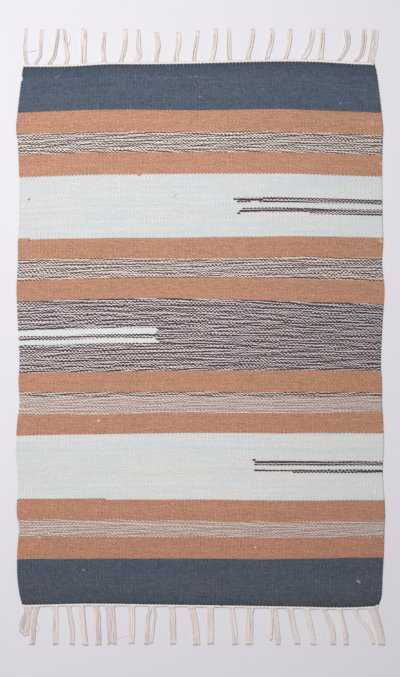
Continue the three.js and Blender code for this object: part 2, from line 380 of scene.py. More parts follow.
class Weave:
    """Turns a place in the weave, in warps and picks, into a place on the rug, in metres."""

    def __init__(self, outline, rng, waver):
        self.outline = outline
        self.lines = BAND_STARTS - EDGE_PICKS
        self.up = waver * layered_noise(rng, PICK_WAVER)
        self.side = waver * layered_noise(rng, WARP_WAVER)

    def heights(self, pick, x):
        """Y of picks at places x, between the lines of their band, and past the ends at the same spacing."""
        far, near = self.outline.ends(x)
        stations = np.array(STATIONS) * MM
        inner = [curve_through(stations, np.array(b.near_edge) * MM, x) for b in BANDS[:-1]]
        band = np.clip(np.searchsorted(self.lines, pick, side="right") - 1, 0, len(BANDS) - 1)
        start, end = [np.choose(band + n, [far, *inner, near]) for n in (0, 1)]
        return start + (end - start) * ((pick - self.lines[band]) / np.diff(self.lines)[band])

    def place(self, warp, pick):
        """X and Y of places in the weave."""
        share = share_across(warp)
        x = (share - 0.5) * ROUGH_WIDTH
        for _ in range(2):
            y = self.heights(pick, x)
            left, right = self.outline.selvedges(y)
            x = left + (right - left) * share
        row = np.clip(np.rint(pick), 0, LAST_PICK).astype(int)
        column = np.clip(np.rint(warp), 0, WARP_GAPS).astype(int)
        inside = ease(np.minimum(warp, WARP_GAPS - warp) / STEADY_WARPS)
        inside *= ease(np.minimum(pick, LAST_PICK - pick) / STEADY_PICKS)
        return x + self.side[row, column] * inside, y + self.up[row, column] * inside


# Colours, pick by pick

# How each weft yarn looks. A plain yarn's dark ply is a shade of its own colour, given as a number. Shares
# are the dark ply's part of the yarn's round at each selvedge. Pace is how fast the plies turn along the
# pick and jitter how unevenly, in radians. Tones are spreads of brightness, tint is how far a pick strays in
# colour, and heft is how much of a line shared with another yarn it covers
YARNS = {row.name: row for row in table(
    "name light dark left_share right_share pace jitter pick_tone bead_tone tint heft",
    ("indigo", "indigo", 0.82, 0.4, 0.5, 0.5, 0.6, 0.03, 0.08, 0.05, 0.5),
    ("worn_indigo", "indigo_worn", 0.82, 0.4, 0.45, 0.5, 0.6, 0.02, 0.07, 0.05, 0.5),
    ("terracotta", "terracotta", 0.81, 0.4, 0.45, 0.5, 0.6, 0.02, 0.05, 0.03, 0.45),
    ("pale", "pale", 0.94, 0.4, 0.4, 0.5, 0.6, 0.014, 0.014, 0.095, 0.5),
    ("ice", "ice", 0.94, 0.4, 0.4, 0.5, 0.6, 0.006, 0.008, 0.02, 0.8),
    ("plum_marl", "blush", "plum_dark", 0.59, 0.69, 0.16, 0.42, 0.03, 0.08, 0, 0.75),
    ("still_marl", "blush", "plum_dark", 0.6, 0.6, 0.05, 0.3, 0.03, 0.07, 0, 0.75),
    ("inlay_marl", "blush", "plum_dark", 0.72, 0.72, 0.07, 0.3, 0.03, 0.07, 0, 0.75),
    ("rose_marl", "cream", "umber", 0.485, 0.505, 0.16, 0.45, 0.03, 0.08, 0, 0.75),
    ("soft_marl", "cream", "taupe", 0.57, 0.6, 0.16, 0.45, 0.02, 0.04, 0, 0.75),
    ("dark_marl", "cream", "umber", 0.5, 0.62, 0.16, 0.45, 0.03, 0.08, 0, 0.75),
)}
KINDS = list(YARNS)

# How much deeper the first picks look: ten or so at the far and at the near end, three, and the very first,
# whose deeper colour is painted shade on the end beads. The ten and the three fade over some picks, until
# they are gone at a pick
FAR_DEEPER, NEAR_DEEPER, FEW_DEEPER, FIRST_DEEPER = 0.15, 0.07, 0.1, 0.16
TEN_FADE, TEN_GONE = 7, 11
FEW_FADE, FEW_GONE = 3, 4

# How strongly a colour mottles, and the shares of red, green and blue that it loses by the near end, which
# is painted shade and leaves the near end warmer. Dark ones hold less red than DARK_RED, and pale ones more
# blue than red
DARK_DYE_AND_SHADE, PALE_DYE_AND_SHADE, WARM_DYE_AND_SHADE = table(
    "mottle near_loss", (1.5, (0.03, 0.1, 0.15)), (0.3, (0.0, 0.015, 0.035)), (1, (0.02, 0.09, 0.11))
)
DARK_RED = 0.3

# Layers of noise in the dye, and in ribs painted shade: there every other pick is deeper, which darkens
# every other warp's column as the ribbed relief would. Clouds in the end bands, tinges everywhere and
# strayed picks shift red, green and blue each by its own share
PATCHES = ((0.02, 9, 13), (0.02, 2.5, 4))
RIBS = ((0.06, 14, 9),)
STREAKS = ((0.02, 1.4, 30),)
CLOUDS = ((1, 2, 34), (0.5, 5, 12))
CLOUD_SHIFT = (0.07, 0.0, -0.025)
TINGES = ((1, 1.5, 34),)
TINGE_SHIFT = (0.016, 0.003, -0.018)
STRAYED = ((1, 1, 24),)
STRAYED_SHIFT = (0.75, 0.15, -0.25)

FAR_PALE_DEEPER = 0.084  # what pale yarn loses at the far end
# Painted shade and light, as the light falls over the rug: every yarn darkens towards the near end, the
# middle is lighter than the sides, and the right side is darker
DOWN_DEEPER, DOWN_BY = 0.055, 0.8  # what every yarn loses from there, by this share of the rug's length
MIDDLE_BRIGHTER = 0.027  # how much brighter the middle is than the sides, which stand at SIDE_TONE
SIDE_TONE = 0.988
RIGHT_DEEPER = 0.065  # what the right side loses, less these shares at the near end and in pale yarn
RIGHT_LESS_NEAR, RIGHT_LESS_PALE = 0.03, 0.045
RIGHT_FROM, RIGHT_OVER = 0.5, 0.4  # where across the rug that starts, and how far on it is whole


class Dyer:
    """Fills the arrays that say, for every bead, its two ply colours, how the plies are turned, the dark
    ply's share of the yarn's round, and the yarn's heft."""

    def __init__(self, colours, rng):
        shape = (PICKS, WARP_GAPS + 1)
        self.colours = colours
        self.rng = rng
        self.light, self.dark = np.zeros((2, *shape, 3))
        self.turn, self.share, self.heft = np.zeros((3, *shape))
        self.kind = np.zeros(shape, int)

    def colour(self, name):
        return np.array(getattr(self.colours, name))

    def tint_plies(self, tint):
        self.light *= tint
        self.dark *= tint

    def lay(self, name, pick, warps, start):
        """One pick of yarn over some warps, whose plies drift on slowly and unevenly from their start."""
        rng = self.rng
        yarn = YARNS[name]
        count = len(warps)
        light = self.colour(yarn.light)
        dark = self.colour(yarn.dark) if isinstance(yarn.dark, str) else light * yarn.dark
        tone = 1 + rng.normal(0, yarn.pick_tone) + rng.normal(0, yarn.bead_tone, count)
        tone += 0.8 * yarn.pick_tone * wander(rng, count, 20)
        self.light[pick, warps] = light * tone[:, None]
        self.dark[pick, warps] = dark * tone[:, None]
        across = warps / WARP_GAPS
        self.share[pick, warps] = yarn.left_share + (yarn.right_share - yarn.left_share) * across
        drift = rng.normal(0, yarn.pace) + yarn.pace * 1.3 * wander(rng, count, 8)
        self.turn[pick, warps] = 2 * pi * start + np.cumsum(drift) + rng.normal(0, yarn.jitter, count)
        self.heft[pick, warps] = yarn.heft + 0.1 * wander(rng, count, 12)
        self.kind[pick, warps] = KINDS.index(name)

    def weave_bands(self):
        """Every pick from the far end to the near end, then the laid-in bars."""
        warps = np.arange(WARP_GAPS + 1)
        for first, band in zip(BAND_STARTS, BANDS):
            for pick in range(first, first + band.picks):
                self.lay(band.yarn, pick, warps, self.rng.random())
        for pick in range(DARK_PICKS):
            self.lay("dark_marl", BAND_STARTS[NEAR_SOFT] + pick, warps, self.rng.random())
        for band, yarn, bars in INLAYS:
            for pick, first, last, turn in bars:
                here = warps[(warps >= first) & (warps <= last)]
                self.lay(yarn, BAND_STARTS[band] + pick, here, turn)

    def partings(self, far, near):
        """How straight the line between two beads runs: only yarns of two kinds are parted."""
        lines = np.full(PICKS, INLAY_PARTING)
        lines[BAND_STARTS[1:] - 1] = [band.parting for band in BANDS]
        return np.where(self.kind[far] != self.kind[near], lines[far[0]], 0)

    def deepen_ends(self):
        """Deepens the first picks at each end; at the very first pick this is painted shade on the end
        beads.
        """
        from_far = np.arange(PICKS)
        from_end = np.minimum(from_far, from_far[::-1])
        deep = np.where(from_far < PICKS / 2, FAR_DEEPER, NEAR_DEEPER)
        deep *= ease((TEN_GONE - from_end) / TEN_FADE)
        deep += FEW_DEEPER * ease((FEW_GONE - from_end) / FEW_FADE) + FIRST_DEEPER * (from_end == 0)
        self.tint_plies((1 - deep)[:, None, None])

    def mottle(self):
        """Patches, streaks and clouds of dye, and painted shade: ribs, a darker, warmer near end, a deeper
        right side.
        """
        rng = self.rng
        rows, columns = self.turn.shape
        red, blue = self.light[:, :, 0], self.light[:, :, 2]
        dark, cool = red < DARK_RED, blue > red
        deep = np.where(dark, DARK_DYE_AND_SHADE.mottle, np.where(cool, PALE_DYE_AND_SHADE.mottle, WARM_DYE_AND_SHADE.mottle))
        every_other = np.where(np.arange(rows) % 2 == 0, 1, -1)[:, None]
        patch = layered_noise(rng, PATCHES)
        # Ribs: painted shade, every other pick deeper so that every other warp's column darkens as under a
        # ribbed relief
        ribs = every_other * layered_noise(rng, RIBS)
        tint = 1 + (deep * (patch + ribs + layered_noise(rng, STREAKS)))[:, :, None] * np.ones(3)
        cloudy = layered_noise(rng, CLOUDS)[:, :, None]
        for end in (slice(0, BANDS[0].picks), slice(PICKS - BANDS[-1].picks, PICKS)):
            tint[end] *= 1 + cloudy[end] * CLOUD_SHIFT
        tint *= 1 + layered_noise(rng, TINGES)[:, :, None] * TINGE_SHIFT
        # Painted shade: darker and warmer towards the near end, and darker on the right side; painted light:
        # lighter in the middle
        down = (np.arange(rows) / rows)[:, None, None]
        nearness = down ** 2
        pale = (cool & (red > DARK_RED))[:, :, None]
        loss = np.where(pale, PALE_DYE_AND_SHADE.near_loss, WARM_DYE_AND_SHADE.near_loss)
        tint *= 1 - nearness * np.where(dark[:, :, None], DARK_DYE_AND_SHADE.near_loss, loss)
        tint *= 1 - FAR_PALE_DEEPER * (1 - nearness) ** 2 * pale
        tint *= 1 - DOWN_DEEPER * ease(down / DOWN_BY)
        across = np.arange(columns)[:, None] / WARP_GAPS
        right_shade = RIGHT_DEEPER - RIGHT_LESS_NEAR * nearness - RIGHT_LESS_PALE * pale
        right_shade = right_shade * ease((across - RIGHT_FROM) / RIGHT_OVER)
        tint *= SIDE_TONE + MIDDLE_BRIGHTER * np.sin(pi * across) - right_shade
        self.tint_plies(tint)

    def tint_picks(self):
        """Picks that stray, slowly along their run, to a warmer or a cooler colour."""
        reach = np.array([yarn.tint for yarn in YARNS.values()])[self.kind]
        warmth = (reach * layered_noise(self.rng, STRAYED))[:, :, None]
        self.tint_plies(1 + warmth * STRAYED_SHIFT)

    def catch_flecks(self, weave):
        """Colours part of the round of the beads nearest to each fleck."""
        picks, warps = np.mgrid[0:PICKS, 0:WARP_GAPS + 1]
        x, y = weave.place(warps.ravel().astype(float), picks.ravel().astype(float))
        bead = ((picks + warps) % 2 == 0).ravel()
        for fleck in FLECKS:
            gap = np.hypot(x - fleck.x * MM, y - fleck.y * MM) + np.where(bead, 0, 1)
            for found in np.argsort(gap)[: fleck.beads]:
                place = np.unravel_index(found, self.turn.shape)
                self.dark[place] = self.light[place]
                self.light[place] += (self.colour(fleck.colour) - self.light[place]) * fleck.strength
                self.share[place] = 1 - fleck.cover
                self.turn[place] = pi / 2


# The woven cloth

# Levels of the cloth's shell, from its underside to its face: how far each loop reaches over the cloth's
# edge, and its height as a share of the thickness
UNDERSIDE, FOOT, RIM, SHOULDER, FACE = range(5)
LEVEL_REACH = np.array((0.0, 0.75, 1.0, 0.7, 0.0))
LEVEL_HEIGHT = np.array((0.0, 0.12, 0.45, 0.8, 1.0))

SELVEDGE_BEAD, SELVEDGE_GAP = 0.12, -0.22  # how far each stands out from the edge, in warps
UNDER_RELIEF = 0.25 * MM


def add_lattice(bm, warp_cells, pick_cells, level):
    """A flat grid in the weave's own units: X counts warps, Y counts picks and Z is a level."""
    made = bmesh.ops.create_grid(bm, x_segments=warp_cells, y_segments=pick_cells, size=0.5)
    for v in made["verts"]:
        v.co = Vector((
            round((v.co.x + 0.5) * warp_cells) * WARP_GAPS / warp_cells,
            round((0.5 - v.co.y) * pick_cells) * LAST_PICK / pick_cells,
            level,
        ))


def split_between_beads(bm, faces):
    """Cuts each square of the face between its two gaps, so that four cuts stand round every bead."""
    for method, odd in (("ALTERNATE", False), ("FIXED", True)):
        chosen = [f for f in faces if (round(f.verts[0].co.x + f.verts[0].co.y) % 2 == 1) == odd]
        bmesh.ops.triangulate(bm, faces=chosen, quad_method=method)


def open_edges(bm, level):
    return [e for e in bm.edges if e.is_boundary and e.verts[0].co.z == level]


def rim_loop(bm, edges, level):
    """One more loop of the rim, drawn out of the last one and given a level of its own."""
    made = bmesh.ops.extrude_edge_only(bm, edges=edges)["geom"]
    for v in made:
        if isinstance(v, bmesh.types.BMVert):
            v.co.z = level
    return [e for e in made if isinstance(e, bmesh.types.BMEdge)]


def on_face(face):
    return all(v.co.z == FACE for v in face.verts)


def cloth_shell():
    """The whole cloth as one closed shell in the weave's units, with the woven face's triangles last."""
    bm = bmesh.new()
    add_lattice(bm, WARP_GAPS // 2, LAST_PICK // 2, UNDERSIDE)
    bmesh.ops.reverse_faces(bm, faces=bm.faces[:])
    bmesh.ops.subdivide_edges(bm, edges=open_edges(bm, UNDERSIDE), cuts=1)
    add_lattice(bm, WARP_GAPS, LAST_PICK, FACE)
    edges = open_edges(bm, FACE)
    for level in (SHOULDER, RIM, FOOT):
        edges = rim_loop(bm, edges, level)
    bmesh.ops.bridge_loops(bm, edges=edges + open_edges(bm, UNDERSIDE))
    split_between_beads(bm, [f for f in bm.faces if on_face(f)])
    bmesh.ops.triangulate(bm, faces=[f for f in bm.faces if len(f.verts) > 3])
    for face in bm.faces:
        face.index = 1 if on_face(face) else 0
    bm.faces.sort()
    return bm


def read(items, field, kind=np.float32, width=1):
    """One value of each of a mesh's items, or one row of values."""
    values = np.zeros(len(items) * width, kind)
    items.foreach_get(field, values)
    return values.reshape(-1, width) if width > 1 else values


def write(items, field, values):
    items.foreach_set(field, values.astype(np.float32).ravel())


def paint(mesh, name, values):
    """A corner attribute: a vector where each corner has three values, and a colour where it has four."""
    kind, field = ("FLOAT_COLOR", "color") if values.shape[1] == 4 else ("FLOAT_VECTOR", "vector")
    write(mesh.attributes.new(name, kind, "CORNER").data, field, values)


def mesh_of(bm, name):
    mesh = bpy.data.meshes.new(name)
    bm.to_mesh(mesh)
    bm.free()
    return mesh


def weld(mesh, smooth_corners):
    """Joins points that meet, turns all faces outwards, and smooths those with the given corners."""
    bm = bmesh.new()
    bm.from_mesh(mesh)
    bmesh.ops.remove_doubles(bm, verts=bm.verts[:], dist=1e-7)
    bmesh.ops.recalc_face_normals(bm, faces=bm.faces[:])
    for face in bm.faces:
        face.smooth = len(face.verts) == smooth_corners
    bm.to_mesh(mesh)
    bm.free()


def shape_cloth(mesh, weave, sizes, thickness):
    """Moves the shell from the weave's units to its place on the rug, and returns the weave places."""
    warp, pick, level = read(mesh.vertices, "co", width=3).astype(float).T
    reach = LEVEL_REACH[level.astype(int)]
    bead = np.rint(warp + pick).astype(int) % 2 == 0
    side = np.where(warp <= 0, -1, np.where(warp >= WARP_GAPS, 1, 0))
    end = np.where(pick <= 0, -1, np.where(pick >= LAST_PICK, 1, 0))
    tooth = EDGE_PICKS + np.where(bead, 0.5, -0.5) * sizes.edge_tooth
    bulge = EDGE_WARPS + np.where(bead, SELVEDGE_BEAD, SELVEDGE_GAP)
    out_warp = warp + side * reach * bulge
    out_pick = pick + end * reach * tooth
    for slip in SLIPS:
        slipped = (warp == slip.warp) & (pick == slip.pick)
        out_warp += slipped * slip.across
        out_pick += slipped * slip.down
    x, y = weave.place(out_warp, out_pick)
    z = LEVEL_HEIGHT[level.astype(int)] * thickness
    z = z - np.where((level == FACE) & ~bead, sizes.relief, 0)
    z = z + np.where((level == UNDERSIDE) & ~bead, UNDER_RELIEF, 0)
    write(mesh.vertices, "co", np.column_stack([x, y, z]))
    mesh.update()
    return np.column_stack([out_warp, out_pick])


MOST_LEAN = 0.4  # how far the heavier of two yarns can reach over the line between their beads
UV_MARGIN = 2  # warps and picks left free round the cloth's UV map


def lay_uvs(mesh, weave_places):
    """A UV map that is the weave's own grid, on both faces alike."""
    u = (weave_places[:, 0] + UV_MARGIN) / (WARP_GAPS + 2 * UV_MARGIN)
    v = 1 - (weave_places[:, 1] + UV_MARGIN) / (LAST_PICK + 2 * UV_MARGIN)
    uv = np.column_stack([u, v])[read(mesh.loops, "vertex_index", np.int32)]
    write(mesh.uv_layers.new(name="OFBake").data, "uv", uv)


def beads_of_faces(mesh, weave_places):
    """Rows and columns of the two beads that meet in each face: the far one and the near one."""
    corners = weave_places[read(mesh.loops, "vertex_index", np.int32)]
    column, row = np.floor(corners.reshape(-1, 3, 2).mean(axis=1)).astype(int).T
    leaning = (column + row) % 2
    pairs = ((row, column + leaning), (row + 1, column + 1 - leaning))
    return [(np.clip(r, 0, LAST_PICK), np.clip(c, 0, WARP_GAPS)) for r, c in pairs]


def add_piece(name, mesh):
    piece = bpy.data.objects.new(name, mesh)
    bpy.context.scene.collection.objects.link(piece)
    return piece


def weave_cloth(sizes, colours):
    """The cloth's mesh, placed, mapped and coloured."""
    rng = np.random.default_rng(sizes.seed)
    weave = Weave(Outline("woven_field"), rng, sizes.waver)
    dyer = Dyer(colours, rng)
    dyer.weave_bands()
    dyer.deepen_ends()
    dyer.mottle()
    dyer.tint_picks()
    dyer.catch_flecks(weave)
    mesh = mesh_of(cloth_shell(), "woven_cloth")
    places = shape_cloth(mesh, weave, sizes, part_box("woven_field")[1].z)
    lay_uvs(mesh, places)
    far, near = beads_of_faces(mesh, places)
    for side, bead in (("far", far), ("near", near)):
        light = np.column_stack([dyer.light[bead], dyer.turn[bead] / (2 * pi) % 1])
        dark = np.column_stack([dyer.dark[bead], -np.cos(pi * dyer.share[bead])])
        paint(mesh, side + "_light", np.repeat(light, 3, axis=0))
        paint(mesh, side + "_dark", np.repeat(dark, 3, axis=0))
    lean = np.clip(dyer.heft[far] - dyer.heft[near], -MOST_LEAN, MOST_LEAN)
    border = np.column_stack([lean, dyer.partings(far, near), np.zeros(len(lean))])
    paint(mesh, "border", np.repeat(border, 3, axis=0))
    weld(mesh, smooth_corners=3)
    return mesh


# Materials

PALE_FILL = 0.7  # how much of the shade in the hollows between its beads a white yarn would lose
BEAD_TAPER = 0.32  # how far a bead narrows to its ends: none leaves bricks, 1 leaves diamonds
PLY_ROLL = -3.4  # how far the plies come round from the middle of a bead to its far or near end, in radians
PLY_SLANT = 0.5  # and how far from its middle to the next warp
PLY_PITCH = 3.2 * MM  # length of one full turn of the warp's plies
SOIL_AND_SHADE = (0.83, 0.77, 0.745)  # shares of red, green and blue that the darkest warp keeps: soil, and painted shade in some yarns


class Shader:
    """A short way to add nodes to a matte material."""

    def __init__(self, name, roughness, specular, sheen=0.0):
        self.material = bpy.data.materials.new(name)
        self.material.use_nodes = True
        self.tree = self.material.node_tree
        self.surface = self.tree.nodes["Principled BSDF"]
        looks = {"Roughness": roughness, "Specular IOR Level": specular, "Sheen Weight": sheen}
        self.fill(self.surface, looks)

    def fill(self, made, values):
        """Links each input, by name or number, to its value, or sets it where the value is plain."""
        for name, value in values.items():
            if isinstance(value, bpy.types.NodeSocket):
                self.tree.links.new(value, made.inputs[name])
            else:
                made.inputs[name].default_value = value

    def node(self, kind, *values, **settings):
        """A new node, with its settings and the values of its first inputs."""
        made = self.tree.nodes.new("ShaderNode" + kind)
        for name, value in settings.items():
            setattr(made, name, value)
        self.fill(made, dict(enumerate(values)))
        return made

    def math(self, operation, *values):
        return self.node("Math", *values, operation=operation).outputs[0]

    plus = partialmethod(math, "ADD")
    minus = partialmethod(math, "SUBTRACT")
    times = partialmethod(math, "MULTIPLY")
    times_plus = partialmethod(math, "MULTIPLY_ADD")
    absolute = partialmethod(math, "ABSOLUTE")

    def mix(self, share, first, second, kind="MIX"):
        made = self.node("Mix", data_type="RGBA", blend_type=kind)
        self.fill(made, {0: share, 6: first, 7: second})
        return made.outputs[2]

    def attribute(self, name):
        return self.node("Attribute", attribute_name=name).outputs

    def split(self, vector):
        return self.node("SeparateXYZ", vector).outputs

    def join(self, *parts):
        return self.node("CombineXYZ", *parts).outputs[0]

    def grain(self, *place):
        """Fine noise, at a place given by its two or three parts."""
        made = self.node("TexNoise")
        self.fill(made, {"Vector": self.join(*place), "Scale": 1.0, "Detail": 3.0, "Roughness": 0.6})
        return made.outputs[0]

    def ramp(self, value, low, high, to_low=0.0, to_high=1.0):
        """Value mapped smoothly from one range to another."""
        made = self.node("MapRange", value, low, high, to_low, to_high, interpolation_type="SMOOTHSTEP")
        return made.outputs[0]

    def vector(self, operation, first, second, socket=1):
        made = self.node("VectorMath", operation=operation)
        self.fill(made, {0: first, socket: second})
        return made.outputs[0]

    scale = partialmethod(vector, "SCALE", socket="Scale")

    def shaded(self, colour, shade):
        """A colour in the shade of the hollows around it, which pale yarn fills with light of its own."""
        paleness = self.node("RGBToBW", colour).outputs[0]
        filled = self.times(self.math("POWER", paleness, 2.0), PALE_FILL)
        shade = self.times_plus(self.minus(1.0, shade), filled, shade)
        bounced = self.scale(colour, self.minus(1.0, shade))
        left = self.vector("SUBTRACT", (1, 1, 1), bounced)
        return self.vector("DIVIDE", self.scale(colour, shade), left)

    def finish(self, colour, height, distance, strength, sunk=False):
        """Gives the material its colour and its bumps, which may be sunk, and returns it."""
        made = self.node("Bump", invert=sunk)
        self.fill(made, {"Height": height, "Distance": distance, "Strength": strength})
        self.fill(self.surface, {"Base Color": colour, "Normal": made.outputs[0]})
        return self.material


def bead_reach(s, warp, pick, row):
    """How near a place is to the side of the bead in a row: 0 along its middle, 1 where the next begins."""
    across = s.absolute(s.math("WRAP", s.minus(warp, row), 1.0, -1.0))
    down = s.absolute(s.minus(pick, row))
    return s.times(s.times_plus(down, BEAD_TAPER, across), 2 / (1 + BEAD_TAPER))


def ply_of(s, near, name):
    """Colour and extra value of a ply, from the far or the near one of the two beads that meet here."""
    beads = [s.attribute(side + name) for side in ("far_", "near_")]
    colour = s.mix(near, *[bead["Color"] for bead in beads])
    first, second = [bead["Alpha"] for bead in beads]
    return colour, s.times_plus(near, s.minus(second, first), first)


def weft_material():
    """Beaten wool weft: each bead rides over one warp, and shows the two plies of its yarn."""
    s = Shader("Weft wool", 0.92, 0.25, 0.12)
    uv = s.split(s.node("UVMap", uv_map="OFBake").outputs[0])
    warp = s.times_plus(uv[0], WARP_GAPS + 2 * UV_MARGIN, -UV_MARGIN)
    pick = s.times_plus(uv[1], -(LAST_PICK + 2 * UV_MARGIN), LAST_PICK + UV_MARGIN)
    far_row = s.math("FLOOR", pick)
    lean, parting, _ = s.split(s.attribute("border")["Vector"])
    past_line = s.times(s.minus(pick, far_row), 2.0)
    past_bead = bead_reach(s, warp, pick, far_row)
    past = s.times_plus(parting, s.minus(past_line, past_bead), past_bead)
    near = s.math("GREATER_THAN", past, s.plus(1.0, lean))
    row = s.plus(far_row, near)
    across = s.math("WRAP", s.minus(warp, row), 1.0, -1.0)
    down = s.minus(pick, row)
    side = s.math("POWER", s.math("MINIMUM", bead_reach(s, warp, pick, row), 1.0), 2.2)
    end = s.math("POWER", s.absolute(down), 2.0)
    dome = s.times(s.minus(1.0, side), s.times_plus(end, -0.8, 1.0))
    light, turn = ply_of(s, near, "light")
    dark, edge = ply_of(s, near, "dark")
    turn = s.times_plus(turn, 2 * pi, s.times(down, PLY_ROLL))
    turn = s.times_plus(across, PLY_SLANT, turn)
    past_edge = s.minus(s.math("COSINE", turn), edge)
    colour = s.mix(s.ramp(past_edge, -0.2, 0.2), dark, light)
    grain = s.grain(s.times(warp, 1.3), s.times(pick, 5.0))
    shade = s.times(s.ramp(grain, 0.3, 0.7, 0.9, 1.08), s.ramp(dome, 0.0, 0.8, 0.7, 1.06))
    groove = s.times(s.absolute(past_edge), 0.12)
    height = s.plus(s.plus(dome, groove), s.times(grain, 0.25))
    return s.finish(s.shaded(colour, shade), height, 0.5 * MM, 0.7, sunk=True)


def cotton_material(colour):
    """Undyed cotton warp: two fine plies twisted together, no two ends quite alike, darker where a yarn's
    tone is low: a little soiled, and painted shade on the strands' right-hand locks and in the thin header
    yarn.
    """
    s = Shader("Warp cotton", 0.9, 0.25, 0.15)
    along, round_yarn, tone = s.split(s.attribute("yarn")["Vector"])
    twist = s.times_plus(along, 2 * pi / PLY_PITCH, s.times(round_yarn, 2 * pi))
    ply = s.absolute(s.math("SINE", twist))
    grain = s.grain(s.times(along, 900.0), s.times(round_yarn, 6.0), s.times(tone, 40.0))
    shade = s.times(s.ramp(grain, 0.25, 0.75, 0.94, 1.05), s.ramp(ply, 0.0, 0.6, 0.92, 1.0))
    # A low tone darkens the yarn: soil in some yarns, painted shade in others
    soiled_and_shaded = s.mix(tone, (*[c * f for c, f in zip(colour, SOIL_AND_SHADE)], 1), (*colour, 1))
    soiled_and_shaded = s.mix(1.0, soiled_and_shaded, s.join(shade, shade, shade), "MULTIPLY")
    return s.finish(soiled_and_shaded, s.times_plus(grain, 0.3, ply), 0.2 * MM, 0.6)


# The fringes

Yarn = namedtuple("Yarn", "path radius tone")

GOLDEN_ANGLE = 2.4  # from one yarn to the next, in radians, which fills a round lock evenly
PACKING = 0.72  # share of a lock's section that its yarns fill
LEAST_THICK = 1.15  # a lock's least height, in yarns
MOST_THICK = 3.3 * MM
WIDTH_AT = 440 * MM  # how far from the middle the width that the warps share is read
INSIDE = 2 * MM  # how far inside the cloth's end a yarn starts
GATHERED = 3.2 * MM  # how far out of the cloth its warps have come together
WARP_HEIGHT = 0.9 * MM  # how high the warps leave the cloth
ROOT_SPREAD, ROOT_SHARE = 0.4, 0.12  # how much wider a strand's root is, and over what share of its length
FRAYED = 4 * MM  # how far back from its tip a yarn grows thinner
DROOPING = 14 * MM  # how far back a strand starts to sink
DROOP = 0.85  # and how much of its height it loses by its tip

HEADER_OUT = 1.7 * MM  # the header's distance from the cloth, and how far it goes on past the outer strands
HEADER_PAST = 6 * MM
HEADER_PITCH = 6 * MM  # how its yarns are twined: pitch, and how far they swing out and up
HEADER_SWING = 0.8 * MM
HEADER_RISE = 0.3 * MM
# The thin yarn's dark colour is painted shade along the header's outer edge
THIN_YARN = 0.5 * MM  # radius and height of the thin yarn outside the header
THIN_HEIGHT = 1.2 * MM
STRAY_YARN = 0.3 * MM  # radius of a fibre that has worked loose


def pressed_flat(across):
    """Places across a round lock, from -1 to 1, spread evenly as when it is pressed flat."""
    return 2 / pi * (np.arcsin(across) + across * np.sqrt(1 - across ** 2))


